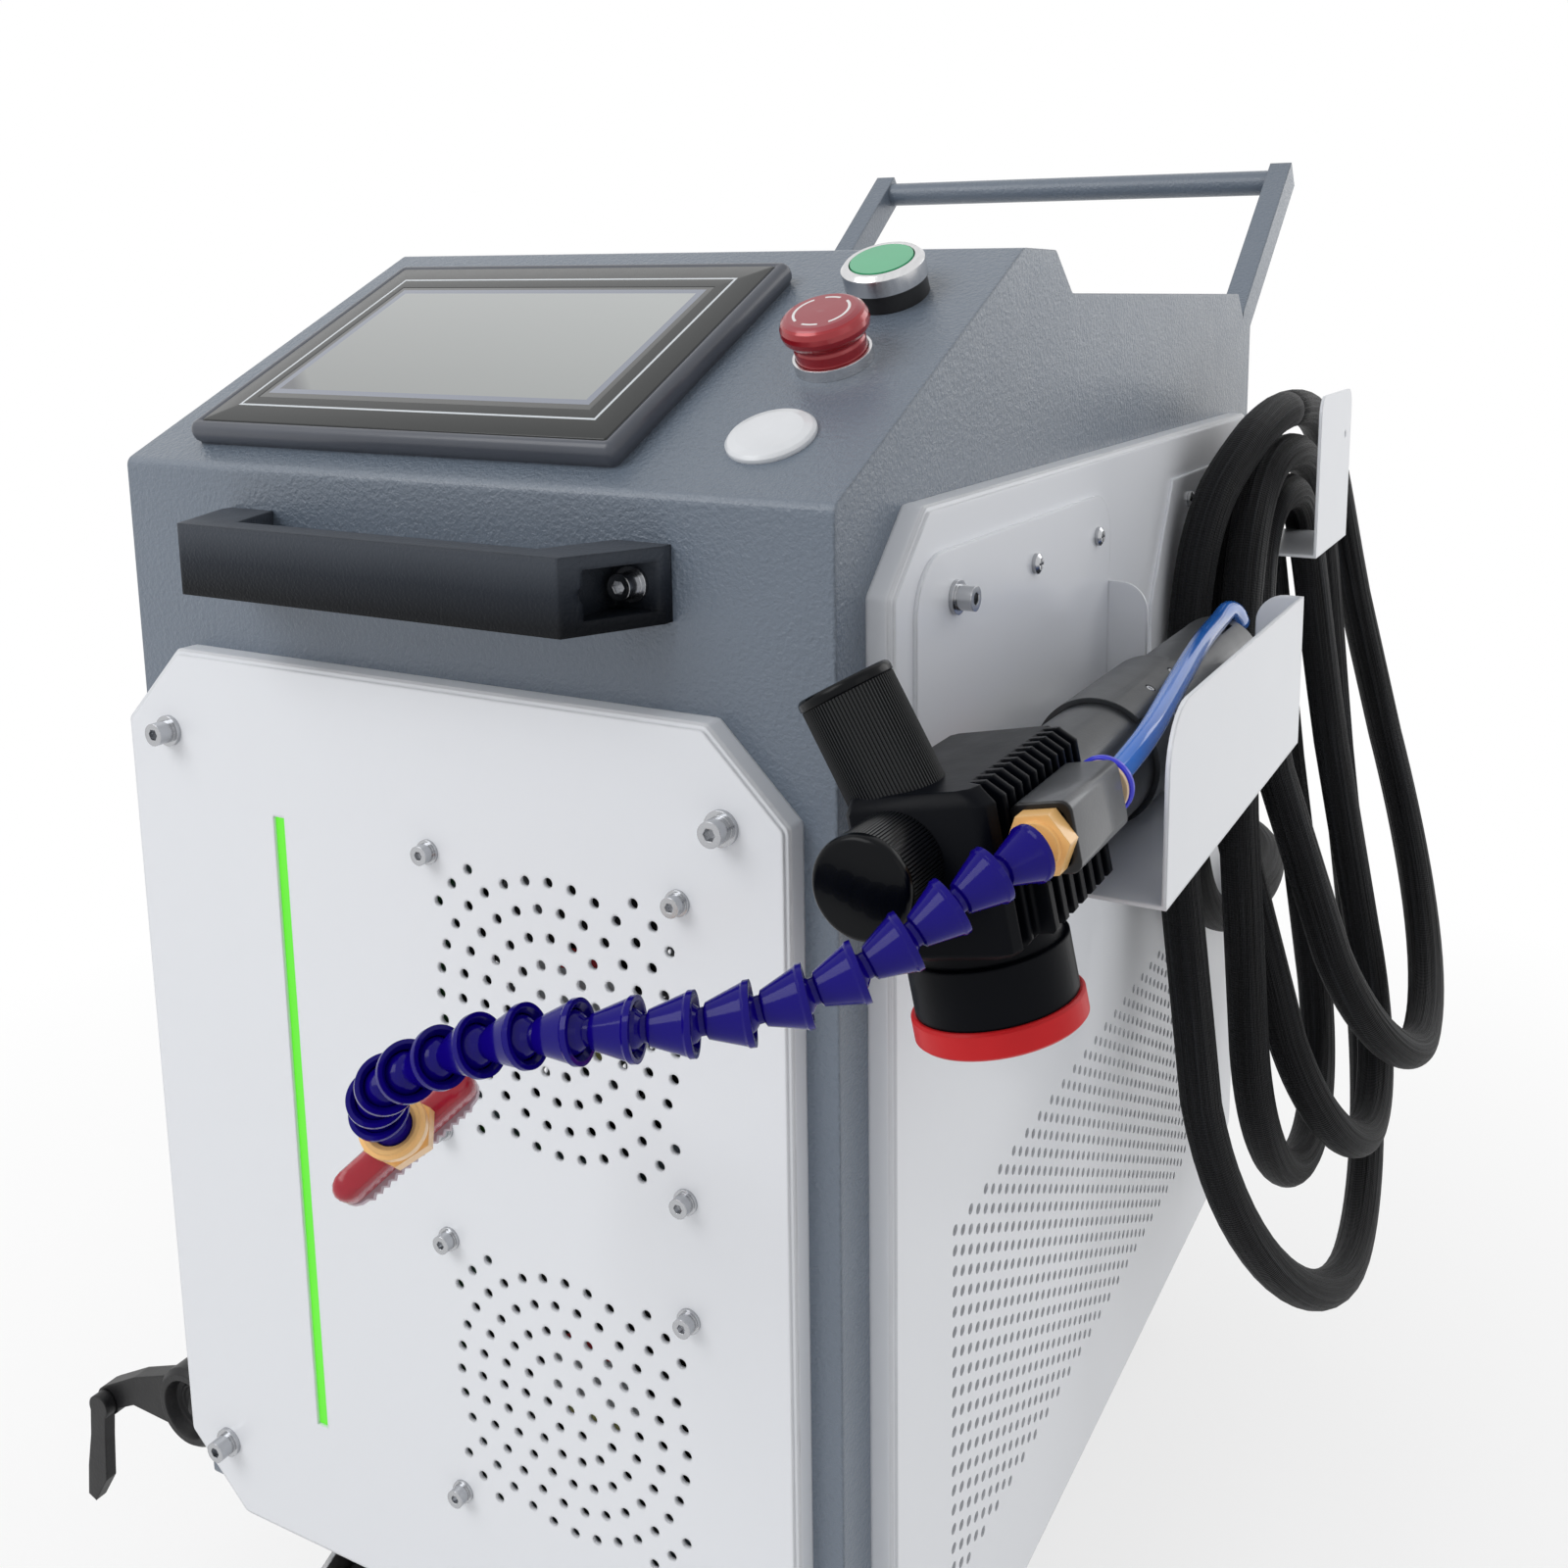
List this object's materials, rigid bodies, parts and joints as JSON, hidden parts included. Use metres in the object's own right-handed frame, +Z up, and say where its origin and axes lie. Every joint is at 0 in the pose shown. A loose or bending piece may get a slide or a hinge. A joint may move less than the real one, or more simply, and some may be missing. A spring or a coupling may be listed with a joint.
{
  "type": "laser cleaning machine",
  "caption": "Wheeled cabinet laser cleaner with sloping console, front and push handles, hand-held scanning head in a side cradle and a hose hank on a hanger.",
  "frame": {"origin": "on the floor under the middle of the cabinet", "axes": "+X right seen from the console side, +Y to the back where the push handle and the connections are, +Z up"},
  "size_m": [0.5559, 0.7793, 0.7341],
  "materials": {
    "grey_paint": "fine textured powder coat",
    "white_paint": "gloss powder coat",
    "black_plastic": "matt moulded",
    "gloss_black": "gloss",
    "steel": "bright zinc plate",
    "brass": "turned",
    "black_alu": "black anodised",
    "grey_alu": "grey anodised",
    "red_alu": "red anodised",
    "glass": "clear",
    "green_light": "lit diffuser",
    "red_plastic": "gloss",
    "green_plastic": "gloss, translucent",
    "white_plastic": "gloss",
    "blue_plastic": "gloss",
    "orange_plastic": "gloss",
    "braid": "black braided sleeve",
    "blue_tube": "clear blue tube",
    "wheel_rubber": "moulded tread",
    "laser_housing": "black anodised, finned"
  },
  "bodies": {
    "cabinet": {"cabinet_shell": "grey_paint", "front_panel": "white_paint", "socket_bolts": "steel", "fan_bolts": "steel", "light_strip": "green_light", "fan_frames": "black_plastic", "front_handle": "black_plastic", "hmi_bezel": "gloss_black", "hmi_screen": "glass", "estop_collar": "steel", "start_collar": "steel", "hole_plug": "white_plastic", "side_panels": "white_paint", "rear_panel": "grey_paint", "power_inlet": "black_plastic", "gas_inlet": "brass", "hose_gland": "black_plastic", "push_handle": "grey_paint", "gun_holder": "white_paint", "hose_hanger": "white_paint", "bracket_screws": "steel", "laser_source": "laser_housing", "side_port": "black_plastic", "castor_plates": "steel", "rear_forks": "steel", "hose_hank": "braid", "hose_tail": "braid"},
    "upper_fan": {"upper_fan_rotor": "black_plastic"},
    "lower_fan": {"lower_fan_rotor": "black_plastic"},
    "stop_stem": {"estop_stem": "black_plastic"},
    "stop_head": {"estop_head": "red_plastic"},
    "start_button": {"start_cap": "green_plastic"},
    "rocker": {"power_rocker": "red_plastic"},
    "drain_lever": {"side_port_lever": "black_plastic"},
    "gun": {"galvo_housing": "black_alu", "galvo_motors": "black_alu", "lens_barrel": "black_alu", "lens_ring": "red_alu", "lens_glass": "glass", "gun_tube": "black_alu", "tube_collar": "black_alu", "hose_connector": "black_alu", "air_block": "grey_alu", "push_in_ring": "blue_plastic", "air_nut": "orange_plastic", "hose_lead": "braid", "air_tube": "blue_tube"},
    "gun_trigger": {"trigger": "red_plastic"},
    "hose_root": {"coolant_hose_a": "blue_plastic"},
    "hose_tip": {"coolant_hose_b": "blue_plastic"},
    "nozzle": {"nozzle_nut": "orange_plastic", "flat_nozzle": "red_plastic"},
    "left_fork": {"fork_left": "steel"},
    "right_fork": {"fork_right": "steel"},
    "left_front_wheel": {"wheel_front_left": "wheel_rubber"},
    "right_front_wheel": {"wheel_front_right": "wheel_rubber"},
    "left_rear_wheel": {"wheel_rear_left": "wheel_rubber"},
    "right_rear_wheel": {"wheel_rear_right": "wheel_rubber"},
    "left_pedal": {"pedal_left": "red_plastic"},
    "right_pedal": {"pedal_right": "red_plastic"}
  },
  "joints": [
    {"name": "upper_fan_spin", "type": "hinge", "parent": "cabinet", "child": "upper_fan", "pos_m": [0.049, -0.2435, 0.403], "axis": [0, 1, 0], "continuous": true},
    {"name": "lower_fan_spin", "type": "hinge", "parent": "cabinet", "child": "lower_fan", "pos_m": [0.049, -0.2435, 0.254], "axis": [0, 1, 0], "continuous": true},
    {"name": "stop_press", "type": "slide", "parent": "cabinet", "child": "stop_stem", "axis": [0, 0.4657, -0.8849], "range_m": [0, 0.003]},
    {"name": "stop_twist", "type": "hinge", "parent": "stop_stem", "child": "stop_head", "pos_m": [0.115, -0.18782, 0.63397], "axis": [0, -0.4657, 0.8849], "range_deg": [-30, 30], "stiffness_Nm_per_rad": 0.01},
    {"name": "start_press", "type": "slide", "parent": "cabinet", "child": "start_button", "axis": [0, 0.4657, -0.8849], "range_m": [0, 0.003], "stiffness_N_per_m": 600, "springref_m": -0.001},
    {"name": "power_rock", "type": "hinge", "parent": "cabinet", "child": "rocker", "pos_m": [-0.07, 0.2555, 0.264], "axis": [1, 0, 0], "range_deg": [-12.5, 0]},
    {"name": "lever_turn", "type": "hinge", "parent": "cabinet", "child": "drain_lever", "pos_m": [-0.249, -0.2355, 0.134], "axis": [0, 1, 0], "range_deg": [-60, 60]},
    {"name": "gun_lift", "type": "slide", "parent": "cabinet", "child": "gun", "axis": [0, 0, 1], "range_m": [0, 0.07]},
    {"name": "trigger_pull", "type": "slide", "parent": "gun", "child": "gun_trigger", "axis": [0.9781, 0, 0.2079], "range_m": [0, 0.0025], "stiffness_N_per_m": 600, "springref_m": -0.001},
    {"name": "hose_root_bend", "type": "hinge", "parent": "gun", "child": "hose_root", "pos_m": [0.23508, -0.305, 0.50598], "axis": [-0.8988, 0.4384, 0], "range_deg": [-8, 8]},
    {"name": "hose_mid_bend", "type": "hinge", "parent": "hose_root", "child": "hose_tip", "pos_m": [0.14711, -0.37897, 0.47303], "axis": [-0.225, 0.9744, 0], "range_deg": [-10, 10]},
    {"name": "nozzle_bend", "type": "hinge", "parent": "hose_tip", "child": "nozzle", "pos_m": [0.06552, -0.35715, 0.4165], "axis": [0.8192, 0.5736, 0], "range_deg": [-20, 20]},
    {"name": "left_swivel", "type": "hinge", "parent": "cabinet", "child": "left_fork", "pos_m": [-0.115, -0.186, 0.09], "axis": [0, 0, 1], "continuous": true},
    {"name": "left_front_roll", "type": "hinge", "parent": "left_fork", "child": "left_front_wheel", "pos_m": [-0.115, -0.212, 0.0375], "axis": [1, 0, 0], "continuous": true},
    {"name": "left_rear_roll", "type": "hinge", "parent": "cabinet", "child": "left_rear_wheel", "pos_m": [-0.115, 0.186, 0.0375], "axis": [1, 0, 0], "continuous": true},
    {"name": "left_brake", "type": "hinge", "parent": "left_fork", "child": "left_pedal", "pos_m": [-0.115, -0.242, 0.0675], "axis": [1, 0, 0], "range_deg": [0, 15]},
    {"name": "right_swivel", "type": "hinge", "parent": "cabinet", "child": "right_fork", "pos_m": [0.115, -0.186, 0.09], "axis": [0, 0, 1], "continuous": true},
    {"name": "right_front_roll", "type": "hinge", "parent": "right_fork", "child": "right_front_wheel", "pos_m": [0.115, -0.212, 0.0375], "axis": [1, 0, 0], "continuous": true},
    {"name": "right_rear_roll", "type": "hinge", "parent": "cabinet", "child": "right_rear_wheel", "pos_m": [0.115, 0.186, 0.0375], "axis": [1, 0, 0], "continuous": true},
    {"name": "right_brake", "type": "hinge", "parent": "right_fork", "child": "right_pedal", "pos_m": [0.115, -0.242, 0.0675], "axis": [1, 0, 0], "range_deg": [0, 15]}
  ]
}
